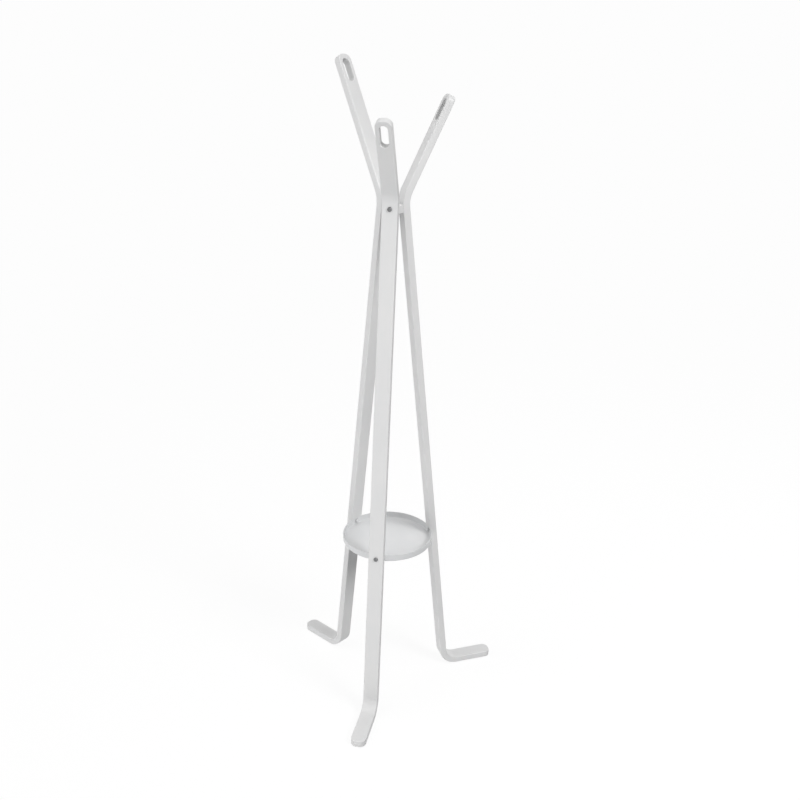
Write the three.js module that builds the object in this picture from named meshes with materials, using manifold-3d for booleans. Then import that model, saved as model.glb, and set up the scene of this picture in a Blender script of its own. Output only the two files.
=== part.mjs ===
// A standing coat rack: three bent wooden strips, each one foot, leg and arm in a single piece,
// bolted round a hub block near the top and round a shallow round tray lower down.
// Millimetres, +Z up. The floor is z = 0, and the origin lies under the middle of the outline.

import * as THREE from 'three';
import * as BufferGeometryUtils from 'three/addons/utils/BufferGeometryUtils.js';
import Module from 'manifold-3d';

// ---------------------------------------------------------------- driving dimensions

const degrees = Math.PI / 180;

const gap = 0.3;                      // clearance between pieces that touch
const cutMargin = 2;                  // how far a cutting tool runs past the face it cuts

// Bent strips. Radii from the stand's axis, and heights, are those of the strip's middle line.
const stripWidth = 40;
const stripThickness = 18;
const edgeRound = 2;                  // softened long edges
const endCornerRadius = 16;           // corners of a toe and of an arm's end
const heelRadius = 178;               // where the leg's line meets the foot's line
const footLength = 147;               // from there to the tip of the foot
const elbowRadius = 26;               // where the leg's line meets the arm's line
const elbowHeight = 1380;
const heelBendRadius = 42;
const elbowBendRadius = 82;
const armAngle = 25.5 * degrees;      // lean of the arm from upright

// The three strips differ only in the length of the arm. Directions are seen from above.
const strips = [
  { side: 'front', direction: -90 * degrees, armLength: 210 },
  { side: 'right', direction: 30 * degrees, armLength: 260 },
  { side: 'left', direction: 150 * degrees, armLength: 350 },
];

// Oblong slot near the end of each arm.
const slotLength = 55;
const slotWidth = 21;
const slotEndMargin = 11.5;           // from the end of the arm to the slot

// Hub block between the three legs.
const hubHeight = 20;
const hubBelowElbow = 24.5;           // from the elbow down to the block's middle

// Tray, let a little way into the inner face of each leg.
const trayHeight = 19;
const trayMiddleHeight = 455.5;
const trayHousingDepth = 2.5;
const trayWall = 2;
const trayFloor = 2;
const trayFootRound = 5;              // outer curve between the tray's floor and its wall
const trayRimRound = 0.8;

// Screws with a round head and a hexagon socket, and what they are driven into.
const screwDiameter = 6;
const screwTipChamfer = 0.8;
const screwHeadDiameter = 11.5;
const screwHeadHeight = 3.4;
const screwHeadEdge = 0.7;            // straight edge of the head below its dome
const screwHeadFlat = 6.3;            // diameter of the flat top inside the dome
const screwSocketAcrossFlats = 4;
const screwSocketDepth = 2;
const screwHoleClearance = 0.4;       // round the shank, on the radius
const seatClearance = 0.6;            // round the head, on the radius of its flat seat
const insertDiameter = 9.6;
const insertLength = 10;
const hubScrewReach = 8.1;            // into the threaded insert
const nutDiameter = 10;
const nutChamfer = 1.5;
const nutEndWall = 1.4;               // behind the blind bore
const nutBoreClearance = 0.9;         // past the screw's tip
const trayScrewReach = 3.7;           // into the nut

// Felt glides, two under each foot.
const glideDiameter = 24;
const glideThickness = 2.5;
const glideToeMargin = 10;            // from the tip of the foot to the outer glide
const glideHeelMargin = 2;            // from the start of the bend to the inner glide

// Fineness of round shapes.
const bendSegments = 7;
const cornerSegments = 4;
const roundSides = 20;
const roundingSegments = 2;
const traySides = 48;
const weldDistance = 1e-4;            // points nearer than this are one point

// ---------------------------------------------------------------- derived sizes

// The strip's middle line: foot, leg and arm.
const toeRadius = heelRadius + footLength;
const footHeight = glideThickness + gap + stripThickness / 2;
const legLean = Math.atan2(heelRadius - elbowRadius, elbowHeight - footHeight);
const halfFace = stripThickness / 2 / Math.cos(legLean);      // level distance to a leg's face
const legRadiusAt = (height) => heelRadius - (height - footHeight) * Math.tan(legLean);
const heelTurn = Math.PI / 2 - legLean;
const flatFootRadius = heelRadius + heelBendRadius * Math.tan(heelTurn / 2);
const cornerRadius = Math.min(endCornerRadius, stripWidth / 2 - edgeRound / 2);

const hubMiddleHeight = elbowHeight - hubBelowElbow;

// Tray. Its edge reaches past the legs' inner faces by the depth of their housings.
const trayRadius = legRadiusAt(trayMiddleHeight) - halfFace + trayHousingDepth;
const trayInnerRadius = trayRadius - trayWall;
const trayBottom = trayMiddleHeight - trayHeight / 2;
const trayTop = trayMiddleHeight + trayHeight / 2;

// Screws run square to the leg's face. Depths are measured along them from that face.
const screwHoleDiameter = screwDiameter + 2 * screwHoleClearance;
const insertStart = stripThickness + 2 * gap;
const insertEnd = insertStart + insertLength;
const hubScrewLength = gap + insertStart + hubScrewReach;
const hubScrewHeight = hubMiddleHeight + (insertStart + insertLength / 2) * Math.sin(legLean);
const trayWallDepth = stripThickness - trayHousingDepth + trayWall / 2;
const trayWallMiddle = (trayBottom + trayFootRound + trayTop - trayRimRound) / 2;
const trayScrewHeight = trayWallMiddle + trayWallDepth * Math.sin(legLean);
const trayInnerDepth =
  (legRadiusAt(trayScrewHeight) + halfFace - trayInnerRadius) / Math.cos(legLean);
const nutRadius = nutDiameter / 2;
const trayCurveUnderNut = trayInnerRadius - Math.sqrt(trayInnerRadius ** 2 - nutRadius ** 2);
const nutStart = trayInnerDepth + gap + trayCurveUnderNut + nutRadius * Math.tan(legLean);
const nutBoreDepth = trayScrewReach + nutBoreClearance;
const nutHeight = nutBoreDepth + nutEndWall;
const trayScrewLength = gap + nutStart + trayScrewReach;

// How far the rounded toes reach in front of the stand's axis and behind it.
const backTurn = 30 * degrees;
const backReach = cornerRadius + (toeRadius - cornerRadius) * Math.sin(backTurn)
  + (stripWidth / 2 - cornerRadius) * Math.cos(backTurn);
const axisOffset = (toeRadius - backReach) / 2;

// ---------------------------------------------------------------- solids, joined and cut

const wasm = await Module();
wasm.setup();

function toSolid(geometry) {
  const bare = geometry.clone();
  bare.deleteAttribute('normal');
  bare.deleteAttribute('uv');
  const merged = BufferGeometryUtils.mergeVertices(bare, weldDistance);
  const corners = merged.index.array;
  const triangles = [];
  for (let i = 0; i < corners.length; i += 3) {
    const [a, b, c] = [corners[i], corners[i + 1], corners[i + 2]];
    if (a !== b && b !== c && c !== a) triangles.push(a, b, c);
  }
  return new wasm.Manifold(new wasm.Mesh({
    numProp: 3,
    vertProperties: new Float32Array(merged.attributes.position.array),
    triVerts: new Uint32Array(triangles),
  }));
}

function toGeometry(solid) {
  const mesh = solid.getMesh();
  const geometry = new THREE.BufferGeometry();
  geometry.setAttribute('position', new THREE.BufferAttribute(mesh.vertProperties, 3));
  geometry.setIndex(new THREE.BufferAttribute(mesh.triVerts, 1));
  const faceted = geometry.toNonIndexed();
  faceted.computeVertexNormals();
  return faceted;
}

// The base with every tool taken away from it.
function cut(base, tools) {
  let solid = toSolid(base);
  for (const tool of tools) solid = solid.subtract(toSolid(tool));
  return toGeometry(solid);
}

// ---------------------------------------------------------------- places on a strip

// A strip is drawn in its own plane: x outwards from the axis, y across the width, z up.
const outwards = new THREE.Vector3(1, 0, 0);
const across = new THREE.Vector3(0, 1, 0);
const up = new THREE.Vector3(0, 0, 1);
const legAlong = new THREE.Vector3(-Math.sin(legLean), 0, Math.cos(legLean));
const legNormal = new THREE.Vector3(Math.cos(legLean), 0, Math.sin(legLean));
const armAlong = new THREE.Vector3(Math.sin(armAngle), 0, Math.cos(armAngle));
const armNormal = new THREE.Vector3(Math.cos(armAngle), 0, -Math.sin(armAngle));

// Moves a geometry so that its +Z points along `normal`, its +Y along `along`.
function lay(geometry, along, normal, origin) {
  const side = new THREE.Vector3().crossVectors(along, normal);
  const frame = new THREE.Matrix4().makeBasis(side, along, normal).setPosition(origin);
  return geometry.applyMatrix4(frame);
}

// A point on the leg's outer face.
const legFacePoint = (height) =>
  new THREE.Vector3(legRadiusAt(height) + halfFace, 0, height);

// A cylinder square to the leg's face, from one depth below that face to another.
function legCylinder(diameter, start, end, height) {
  const radius = diameter / 2;
  const geometry = new THREE.CylinderGeometry(radius, radius, end - start, roundSides);
  geometry.rotateX(Math.PI / 2).translate(0, 0, -(start + end) / 2);
  return lay(geometry, across, legNormal, legFacePoint(height));
}

// Turns what is drawn on the +X side to a strip's direction.
const turned = (geometry, strip) => geometry.rotateZ(strip.direction);

// ---------------------------------------------------------------- bent strips

// The round bend at corner b, between a and c: its centre and its two tangent points.
function bendAt(a, b, c, radius) {
  const before = a.clone().sub(b).normalize();
  const after = c.clone().sub(b).normalize();
  const half = Math.acos(before.dot(after)) / 2;
  const reach = radius / Math.tan(half);
  const middle = before.clone().add(after).normalize();
  return {
    centre: b.clone().addScaledVector(middle, radius / Math.sin(half)),
    start: b.clone().addScaledVector(before, reach),
    end: b.clone().addScaledVector(after, reach),
  };
}

// Adds an arc about the bend's centre, from one tangent point's side to the other's.
function addBend(shape, bend, radius, from, to, clockwise) {
  const angleOf = (point) => Math.atan2(point.y - bend.centre.y, point.x - bend.centre.x);
  shape.absarc(bend.centre.x, bend.centre.y, radius, angleOf(from), angleOf(to), clockwise);
}

// Side outline: up the outer face from the toe to the arm's end, and back down the inner face.
function stripOutline(armLength) {
  const half = stripThickness / 2;
  const toe = new THREE.Vector2(toeRadius + cutMargin, footHeight);
  const heel = new THREE.Vector2(heelRadius, footHeight);
  const elbow = new THREE.Vector2(elbowRadius, elbowHeight);
  const arm = new THREE.Vector2(armAlong.x, armAlong.z);
  const armSide = new THREE.Vector2(armNormal.x, armNormal.z).multiplyScalar(half);
  const tip = elbow.clone().addScaledVector(arm, armLength + cutMargin);
  const heelBend = bendAt(toe, heel, elbow, heelBendRadius);
  const elbowBend = bendAt(heel, elbow, tip, elbowBendRadius);

  const shape = new THREE.Shape();
  shape.moveTo(toe.x, toe.y - half);
  shape.lineTo(toe.x, toe.y + half);
  addBend(shape, heelBend, heelBendRadius - half, heelBend.start, heelBend.end, true);
  addBend(shape, elbowBend, elbowBendRadius - half, elbowBend.start, elbowBend.end, true);
  shape.lineTo(tip.x + armSide.x, tip.y + armSide.y);
  shape.lineTo(tip.x - armSide.x, tip.y - armSide.y);
  addBend(shape, elbowBend, elbowBendRadius + half, elbowBend.end, elbowBend.start, false);
  addBend(shape, heelBend, heelBendRadius + half, heelBend.end, heelBend.start, false);
  shape.closePath();
  return shape;
}

function stripBlank(armLength) {
  const geometry = new THREE.ExtrudeGeometry(stripOutline(armLength), {
    depth: stripWidth - 2 * edgeRound,
    curveSegments: bendSegments,
    bevelEnabled: true,
    bevelThickness: edgeRound,
    bevelSize: edgeRound,
    bevelOffset: -edgeRound,
    bevelSegments: roundingSegments,
  });
  geometry.translate(0, 0, edgeRound - stripWidth / 2);
  return geometry.rotateX(Math.PI / 2);
}

// A flat shape made into a tool that runs right through a strip.
function throughStrip(shape) {
  const depth = stripThickness + 2 * cutMargin;
  const options = { depth, curveSegments: cornerSegments, bevelEnabled: false };
  return new THREE.ExtrudeGeometry(shape, options).translate(0, 0, -depth / 2);
}

// What comes off the end of a strip to leave two rounded corners. The end is at y = 0.
function endTrimmer() {
  const half = stripWidth / 2;
  const outside = half + cutMargin;
  const inside = half - cornerRadius;
  const shape = new THREE.Shape();
  shape.moveTo(-outside, -cornerRadius);
  shape.lineTo(-half, -cornerRadius);
  shape.absarc(-inside, -cornerRadius, cornerRadius, Math.PI, Math.PI / 2, true);
  shape.absarc(inside, -cornerRadius, cornerRadius, Math.PI / 2, 0, true);
  shape.lineTo(outside, -cornerRadius);
  shape.lineTo(outside, 2 * cutMargin);
  shape.lineTo(-outside, 2 * cutMargin);
  shape.closePath();
  return throughStrip(shape);
}

// The slot. The end of the arm is at y = 0.
function slotCutter() {
  const radius = slotWidth / 2;
  const topCentre = -slotEndMargin - radius;
  const lowCentre = -slotEndMargin - slotLength + radius;
  const shape = new THREE.Shape();
  shape.absarc(0, topCentre, radius, 0, Math.PI, false);
  shape.absarc(0, lowCentre, radius, Math.PI, 2 * Math.PI, false);
  shape.closePath();
  return throughStrip(shape);
}

// The housing that the tray's edge sits in.
function trayHousing() {
  const radius = trayRadius + gap;
  const height = trayHeight + 2 * gap;
  const geometry = new THREE.CylinderGeometry(radius, radius, height, traySides);
  return geometry.rotateX(Math.PI / 2).translate(0, 0, trayMiddleHeight);
}

// A screw's hole through the leg, and the flat seat under its head.
function screwHole(height) {
  const through = stripThickness + cutMargin;
  const seat = screwHeadDiameter + 2 * seatClearance;
  return [
    legCylinder(screwHoleDiameter, -cutMargin, through, height),
    legCylinder(seat, -screwHeadHeight, 0, height),
  ];
}

function stripGeometry(strip) {
  const toeEnd = new THREE.Vector3(toeRadius, 0, footHeight);
  const elbow = new THREE.Vector3(elbowRadius, 0, elbowHeight);
  const armEnd = elbow.addScaledVector(armAlong, strip.armLength);
  return cut(stripBlank(strip.armLength), [
    lay(endTrimmer(), outwards, up, toeEnd),
    lay(endTrimmer(), armAlong, armNormal, armEnd),
    lay(slotCutter(), armAlong, armNormal, armEnd),
    trayHousing(),
    ...screwHole(hubScrewHeight),
    ...screwHole(trayScrewHeight),
  ]);
}

// ---------------------------------------------------------------- hub block

// The straight inner face of a leg, as a bar that the block is cut back from.
function legBar() {
  const thickness = stripThickness + 2 * gap;
  const geometry = new THREE.BoxGeometry(2 * stripWidth, 4 * hubHeight, thickness);
  const middle = new THREE.Vector3(legRadiusAt(hubMiddleHeight), 0, hubMiddleHeight);
  return lay(geometry, legAlong, legNormal, middle);
}

// Six sides: three wide ones against the legs, three short ones level with the legs' edges.
function hubOutline() {
  const halfTurn = 60 * degrees;
  const wide = legRadiusAt(hubMiddleHeight - hubHeight / 2);
  const legFace = legRadiusAt(hubMiddleHeight) - halfFace;
  const short = legFace * Math.cos(halfTurn) + stripWidth / 2 * Math.sin(halfTurn);
  const side = (short - wide * Math.cos(halfTurn)) / Math.sin(halfTurn);
  const points = strips.flatMap((strip) => [-side, side].map((y) =>
    new THREE.Vector2(wide, y).rotateAround(new THREE.Vector2(), strip.direction)));
  return new THREE.Shape(points);
}

function hubGeometry() {
  const block = new THREE.ExtrudeGeometry(hubOutline(), { depth: hubHeight, bevelEnabled: false });
  block.translate(0, 0, hubMiddleHeight - hubHeight / 2);
  const holeDiameter = insertDiameter + 2 * gap;
  const insertHole = () =>
    legCylinder(holeDiameter, stripThickness, insertEnd + gap, hubScrewHeight);
  return cut(block, [
    ...strips.map((strip) => turned(legBar(), strip)),
    ...strips.map((strip) => turned(insertHole(), strip)),
  ]);
}

// ---------------------------------------------------------------- tray

// Half of the tray's section, from the axis under the floor round the rim to the axis again.
function trayProfile() {
  const innerRound = trayFootRound - trayWall;
  const floorTop = trayBottom + trayFloor;
  const rim = trayTop - trayRimRound;
  const path = new THREE.Path();
  path.moveTo(0, trayBottom);
  path.lineTo(trayRadius - trayFootRound, trayBottom);
  path.absarc(trayRadius - trayFootRound, trayBottom + trayFootRound, trayFootRound,
    -Math.PI / 2, 0, false);
  path.lineTo(trayRadius, rim);
  path.absarc(trayRadius - trayRimRound, rim, trayRimRound, 0, Math.PI / 2, false);
  path.absarc(trayInnerRadius + trayRimRound, rim, trayRimRound, Math.PI / 2, Math.PI, false);
  path.lineTo(trayInnerRadius, floorTop + innerRound);
  path.absarc(trayInnerRadius - innerRound, floorTop + innerRound, innerRound,
    0, -Math.PI / 2, true);
  path.lineTo(0, floorTop);
  return path.getPoints(roundingSegments);
}

function trayGeometry() {
  const dish = new THREE.LatheGeometry(trayProfile(), traySides).rotateX(Math.PI / 2);
  return cut(dish, strips.map((strip) =>
    turned(legCylinder(screwHoleDiameter, stripThickness / 2, nutStart, trayScrewHeight), strip)));
}

// ---------------------------------------------------------------- fasteners and glides

// A screw along +Z, with the underside of its head at z = 0 and its shank below.
function screwGeometry(length) {
  const radius = screwDiameter / 2;
  const headRadius = screwHeadDiameter / 2;
  const topRadius = screwHeadFlat / 2;
  const dome = screwHeadHeight - screwHeadEdge;
  const path = new THREE.Path();
  path.moveTo(0, -length);
  path.lineTo(radius - screwTipChamfer, -length);
  path.lineTo(radius, screwTipChamfer - length);
  path.lineTo(radius, 0);
  path.lineTo(headRadius, 0);
  path.lineTo(headRadius, screwHeadEdge);
  path.absellipse(topRadius, screwHeadEdge, headRadius - topRadius, dome, 0, Math.PI / 2, false, 0);
  path.lineTo(0, screwHeadHeight);
  const profile = path.getPoints(roundingSegments);
  const body = new THREE.LatheGeometry(profile, roundSides).rotateX(Math.PI / 2);

  const cornerReach = screwSocketAcrossFlats / 2 / Math.cos(30 * degrees);
  const depth = screwSocketDepth + cutMargin;
  const socket = new THREE.CylinderGeometry(cornerReach, cornerReach, depth, 6);
  socket.rotateX(Math.PI / 2).translate(0, 0, screwHeadHeight - screwSocketDepth + depth / 2);
  return cut(body, [socket]);
}

// An outline turned about the axis, given as [radius, height] corners.
function turnedGeometry(corners) {
  const points = corners.map(([radius, height]) => new THREE.Vector2(radius, height));
  return new THREE.LatheGeometry(points, roundSides).rotateX(Math.PI / 2);
}

// A threaded insert, open at both ends, with its mouth at z = 0.
function insertGeometry() {
  const bore = screwDiameter / 2 + gap;
  const outer = insertDiameter / 2;
  const low = -insertLength;
  return turnedGeometry([[bore, low], [outer, low], [outer, 0], [bore, 0], [bore, low]]);
}

// A cap nut with a blind bore, with its seat at z = 0 and its closed end below.
function nutGeometry() {
  const bore = screwDiameter / 2 + gap;
  return turnedGeometry([
    [0, -nutHeight], [nutRadius - nutChamfer, -nutHeight], [nutRadius, nutChamfer - nutHeight],
    [nutRadius, 0], [bore, 0], [bore, -nutBoreDepth], [0, -nutBoreDepth],
  ]);
}

function glideGeometry() {
  const radius = glideDiameter / 2;
  const geometry = new THREE.CylinderGeometry(radius, radius, glideThickness, roundSides);
  return geometry.rotateX(Math.PI / 2).translate(0, 0, glideThickness / 2);
}

// ---------------------------------------------------------------- materials

const lacqueredWood = new THREE.MeshStandardMaterial({ color: 0xdededd, roughness: 0.5 });
const lacqueredSteel = new THREE.MeshStandardMaterial({
  color: 0xd3d5d8, roughness: 0.4, metalness: 0.1,
});
const plainSteel = new THREE.MeshStandardMaterial({
  color: 0xa9abad, roughness: 0.3, metalness: 1,
});
const brass = new THREE.MeshStandardMaterial({ color: 0xb5964f, roughness: 0.4, metalness: 1 });
const felt = new THREE.MeshStandardMaterial({ color: 0x8d8c88, roughness: 0.95 });

// ---------------------------------------------------------------- the stand

const stand = new THREE.Group();
stand.position.y = axisOffset;

function place(name, geometry, material, parent) {
  const mesh = new THREE.Mesh(geometry, material);
  mesh.name = name;
  parent.add(mesh);
  return mesh;
}

// Places a fastener square to the leg's face, `depth` below that face.
function placeInLeg(name, geometry, material, height, depth, parent) {
  const origin = legFacePoint(height).addScaledVector(legNormal, -depth);
  return place(name, lay(geometry, across, legNormal, origin), material, parent);
}

place('hub_block', hubGeometry(), lacqueredWood, stand);
place('tray', trayGeometry(), lacqueredSteel, stand);

for (const strip of strips) {
  const branch = new THREE.Group();
  branch.rotation.z = strip.direction;
  stand.add(branch);

  place(`${strip.side}_strip`, stripGeometry(strip), lacqueredWood, branch);

  placeInLeg(`${strip.side}_hub_screw`, screwGeometry(hubScrewLength), plainSteel,
    hubScrewHeight, -gap, branch);
  placeInLeg(`${strip.side}_hub_insert`, insertGeometry(), brass,
    hubScrewHeight, insertStart, branch);
  placeInLeg(`${strip.side}_tray_screw`, screwGeometry(trayScrewLength), plainSteel,
    trayScrewHeight, -gap, branch);
  placeInLeg(`${strip.side}_tray_nut`, nutGeometry(), lacqueredSteel,
    trayScrewHeight, nutStart, branch);

  const toeGlide = place(`${strip.side}_toe_glide`, glideGeometry(), felt, branch);
  toeGlide.position.x = toeRadius - glideToeMargin - glideDiameter / 2;
  const heelGlide = place(`${strip.side}_heel_glide`, glideGeometry(), felt, branch);
  heelGlide.position.x = flatFootRadius + glideHeelMargin + glideDiameter / 2;
}

export default stand;
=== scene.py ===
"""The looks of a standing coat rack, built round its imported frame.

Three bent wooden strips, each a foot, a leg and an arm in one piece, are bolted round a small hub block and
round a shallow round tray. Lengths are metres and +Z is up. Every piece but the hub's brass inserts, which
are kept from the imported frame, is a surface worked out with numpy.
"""

import math

import bmesh
import bpy
import numpy as np
from mathutils import Matrix, Vector


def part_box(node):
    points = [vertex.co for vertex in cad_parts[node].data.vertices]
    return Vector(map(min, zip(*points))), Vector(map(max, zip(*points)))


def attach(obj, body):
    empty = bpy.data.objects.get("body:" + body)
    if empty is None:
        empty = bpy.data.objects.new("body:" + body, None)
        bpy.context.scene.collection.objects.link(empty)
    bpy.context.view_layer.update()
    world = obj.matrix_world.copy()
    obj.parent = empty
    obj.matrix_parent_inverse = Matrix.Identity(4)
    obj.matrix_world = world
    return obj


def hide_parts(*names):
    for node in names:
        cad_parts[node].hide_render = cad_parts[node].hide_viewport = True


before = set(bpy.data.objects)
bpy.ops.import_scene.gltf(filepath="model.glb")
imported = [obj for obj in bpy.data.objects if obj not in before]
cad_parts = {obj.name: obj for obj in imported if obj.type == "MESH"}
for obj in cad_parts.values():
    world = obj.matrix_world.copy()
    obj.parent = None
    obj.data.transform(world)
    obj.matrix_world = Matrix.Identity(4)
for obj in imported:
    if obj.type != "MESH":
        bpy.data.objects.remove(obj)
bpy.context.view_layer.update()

# ------------------------------ sizes of the stand

MM = 0.001
GAP = 0.3 * MM                          # clearance between pieces that touch

STRIP_THICKNESS = 18 * MM
VENEER_THICKNESS = 1.5 * MM             # of the layers that a strip is glued from
STRIP_EDGE_ROUND = 2 * MM
STRIP_END_CORNER = 16 * MM              # corners of a toe and of an arm's end
HEEL_RADIUS = 178 * MM                  # from the axis to where the leg's line meets the foot's line
ELBOW_RADIUS = 26 * MM                  # from the axis to where the leg's line meets the arm's line
ELBOW_HEIGHT = 1380 * MM
HEEL_BEND = 42 * MM
ELBOW_BEND = 82 * MM
ARM_ANGLE = math.radians(25.5)          # lean of the arm from upright
DIRECTIONS = {"front": math.radians(-90), "right": math.radians(30), "left": math.radians(150)}

SLOT_LENGTH = 55 * MM
SLOT_WIDTH = 21 * MM
SLOT_END_MARGIN = 11.5 * MM             # from the end of the arm to the slot
SLOT_EDGE_ROUND = 1.2 * MM

TRAY_HOUSING_DEPTH = 2.5 * MM
TRAY_WALL = 2 * MM
TRAY_FLOOR = 2 * MM
TRAY_FOOT_ROUND = 5 * MM
TRAY_RIM_ROUND = 0.8 * MM

HUB_EDGE_ROUND = 1 * MM                 # of its top and bottom edges
HUB_CORNER_ROUND = 1.2 * MM             # of its six upright corners

SCREW_DIAMETER = 6 * MM
SCREW_CLEARANCE = 0.4 * MM
SCREW_HEAD_DIAMETER = 11.5 * MM
SCREW_HEAD_HEIGHT = 3.4 * MM
SCREW_HEAD_EDGE = 0.7 * MM              # height of the head's upright rim
SCREW_HEAD_FLAT = 0.56                  # of the head's radius, the flat on top of its dome
SCREW_HEAD_CHAMFER = 0.25 * MM
SCREW_NECK_FILLET = 0.3 * MM
SCREW_SOCKET_FLATS = 4 * MM
SCREW_SOCKET_DEPTH = 2 * MM
SCREW_SOCKET_MOUTH = [(0.45 * MM, 0), (0.12 * MM, 0.06 * MM), (0, 0.25 * MM)]  # past its flats, and down
SCREW_SOCKET_CHAMFER = 0.1 * MM         # of its floor's edge
SCREW_SOCKET_CONE = 0.4 * MM            # depth of the drill's point in its floor
SCREW_TIP_CHAMFER = 0.8 * MM
SEAT_CLEARANCE = 0.6 * MM
SEAT_DEPTH = 0.1 * MM                   # how far the seat under a head is let into the wood
INSERT_DIAMETER = 9.6 * MM
INSERT_LENGTH = 10 * MM
INSERT_HOLE_START = 10 * MM             # below the leg's face, outside the hub
HUB_SCREW_REACH = 8.1 * MM              # into the threaded insert
NUT_DIAMETER = 10 * MM
NUT_HEIGHT = 6 * MM
NUT_BORE_DEPTH = 4.6 * MM
NUT_END_ROUND = 2.2 * MM
NUT_SEAT_ROUND = 0.3 * MM
NUT_MOUTH_ROUND = 0.2 * MM
TRAY_SCREW_REACH = 3.7 * MM             # into the nut
TRAY_HOLE_START = 9 * MM                # below the leg's face, outside the tray
GLIDE_ROUND = 0.7 * MM
CUT_MARGIN = 2 * MM                     # how far a cut runs out past the wood

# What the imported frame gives.
tray_low, tray_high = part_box("tray")
hub_low, hub_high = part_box("hub_block")
foot_low, foot_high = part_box("front_strip")
AXIS = (tray_low + tray_high).to_2d() / 2
STRIP_WIDTH = foot_high.x - foot_low.x
TOE_RADIUS = AXIS.y - foot_low.y
FOOT_HEIGHT = foot_low.z + STRIP_THICKNESS / 2
TRAY_RADIUS = (tray_high.x - tray_low.x) / 2
TRAY_MIDDLE = (tray_low.z + tray_high.z) / 2
TRAY_HALF_HEIGHT = (tray_high.z - tray_low.z) / 2
HUB_MIDDLE = (hub_low.z + hub_high.z) / 2
HUB_HALF_HEIGHT = (hub_high.z - hub_low.z) / 2

LEG_LEAN = math.atan2(HEEL_RADIUS - ELBOW_RADIUS, ELBOW_HEIGHT - FOOT_HEIGHT)
LEG_HALF_FACE = STRIP_THICKNESS / 2 / math.cos(LEG_LEAN)
END_FLAT = STRIP_WIDTH / 2 - STRIP_END_CORNER


def leg_radius(height):
    """Distance from the axis to a leg's middle line: it falls off evenly with height."""
    return HEEL_RADIUS - (height - FOOT_HEIGHT) * math.tan(LEG_LEAN)


INSERT_START = STRIP_THICKNESS + 2 * GAP
HUB_SCREW_HEIGHT = HUB_MIDDLE + (INSERT_START + INSERT_LENGTH / 2) * math.sin(LEG_LEAN)
HUB_SCREW_LENGTH = GAP + INSERT_START + HUB_SCREW_REACH
TRAY_WALL_DEPTH = STRIP_THICKNESS - TRAY_HOUSING_DEPTH + TRAY_WALL / 2
TRAY_WALL_MIDDLE = (tray_low.z + TRAY_FOOT_ROUND + tray_high.z - TRAY_RIM_ROUND) / 2
TRAY_SCREW_HEIGHT = TRAY_WALL_MIDDLE + TRAY_WALL_DEPTH * math.sin(LEG_LEAN)


def nut_depth():
    """Depth of the nut's seat below the leg's outer face, past the tray's wall and that wall's curve."""
    inner = TRAY_RADIUS - TRAY_WALL
    wall = (leg_radius(TRAY_SCREW_HEIGHT) + LEG_HALF_FACE - inner) / math.cos(LEG_LEAN)
    curve = inner - math.sqrt(inner ** 2 - (NUT_DIAMETER / 2) ** 2)
    return wall + GAP + curve + NUT_DIAMETER / 2 * math.tan(LEG_LEAN)


NUT_START = nut_depth()
TRAY_SCREW_LENGTH = GAP + NUT_START + TRAY_SCREW_REACH


# ------------------------------ shader maths


class Wire:
    """One output of a shader node. Sums, products and the like with it add Math nodes to its tree."""

    def __init__(self, board, socket):
        self.board = board
        self.socket = socket

    def combine(self, operation, *values):
        inputs = dict(enumerate(values))
        return self.board.node("ShaderNodeMath", {"operation": operation}, inputs, "Value")

    def __add__(self, other):
        return self.combine("ADD", self, other)

    def __radd__(self, other):
        return self.combine("ADD", other, self)

    def __sub__(self, other):
        return self.combine("SUBTRACT", self, other)

    def __rsub__(self, other):
        return self.combine("SUBTRACT", other, self)

    def __mul__(self, other):
        return self.combine("MULTIPLY", self, other)

    def __rmul__(self, other):
        return self.combine("MULTIPLY", other, self)

    def __truediv__(self, other):
        return self.combine("DIVIDE", self, other)

    def __abs__(self):
        return self.combine("ABSOLUTE", self)


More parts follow.
